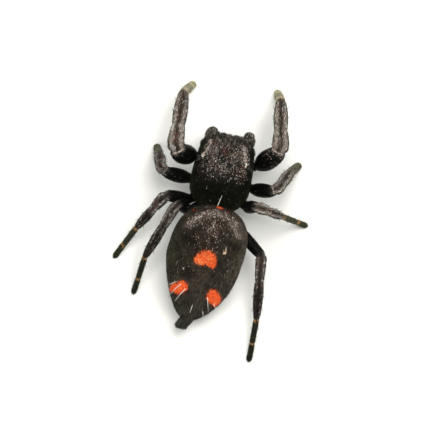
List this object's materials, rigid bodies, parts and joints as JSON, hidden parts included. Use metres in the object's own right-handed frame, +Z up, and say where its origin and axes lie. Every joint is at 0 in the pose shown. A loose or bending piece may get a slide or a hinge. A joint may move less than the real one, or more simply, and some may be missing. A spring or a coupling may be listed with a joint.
{
  "type": "jumping spider",
  "caption": "Bold jumping spider as a still, life-size museum model: a hairy black body with orange spots on the abdomen, large forward eyes and short sturdy legs, standing on its feet.",
  "frame": {"origin": "middle of the box round the whole spider, at floor level", "axes": "+Z up; -Y is the way the head looks; +X is the spider's left side"},
  "size_m": [0.0132, 0.0196, 0.0059],
  "materials": {
    "black_shell": "hard black shell with a soft gloss, thinly covered with flat grey scales",
    "black_hair": "short black and grey hair, dull",
    "pale_hair": "short pale grey to straw hair, dull",
    "green_shell": "smooth shell with a metallic green shine",
    "red_shell": "glossy dark red-brown horn",
    "brown_skin": "dull dark brown skin",
    "eye_glass": "polished black lens"
  },
  "bodies": {
    "root": {"abdomen": "black_hair", "carapace": "black_shell", "endite_left": "brown_skin", "endite_right": "brown_skin", "eye_al_left": "eye_glass", "eye_al_right": "eye_glass", "eye_am_left": "eye_glass", "eye_am_right": "eye_glass", "eye_pl_left": "eye_glass", "eye_pl_right": "eye_glass", "eye_pm_left": "eye_glass", "eye_pm_right": "eye_glass", "fang_left": "red_shell", "fang_right": "red_shell", "jaw_left": "green_shell", "jaw_right": "green_shell", "labium": "black_shell", "leg1_left_coxa": "black_shell", "leg1_left_femur": "black_hair", "leg1_left_foot": "pale_hair", "leg1_left_tibia": "black_hair", "leg1_right_coxa": "black_shell", "leg1_right_femur": "black_hair", "leg1_right_foot": "pale_hair", "leg1_right_tibia": "black_hair", "leg2_left_coxa": "black_shell", "leg2_left_femur": "black_hair", "leg2_left_foot": "pale_hair", "leg2_left_tibia": "black_hair", "leg2_right_coxa": "black_shell", "leg2_right_femur": "black_hair", "leg2_right_foot": "pale_hair", "leg2_right_tibia": "black_hair", "leg3_left_coxa": "black_shell", "leg3_left_femur": "black_hair", "leg3_left_foot": "pale_hair", "leg3_left_tibia": "black_hair", "leg3_right_coxa": "black_shell", "leg3_right_femur": "black_hair", "leg3_right_foot": "pale_hair", "leg3_right_tibia": "black_hair", "leg4_left_coxa": "black_shell", "leg4_left_femur": "black_hair", "leg4_left_foot": "pale_hair", "leg4_left_tibia": "black_hair", "leg4_right_coxa": "black_shell", "leg4_right_femur": "black_hair", "leg4_right_foot": "pale_hair", "leg4_right_tibia": "black_hair", "palp_left_arm": "black_hair", "palp_left_hand": "pale_hair", "palp_right_arm": "black_hair", "palp_right_hand": "pale_hair", "pedicel": "brown_skin", "spinnerets": "brown_skin", "sternum": "black_shell"}
  },
  "joints": []
}
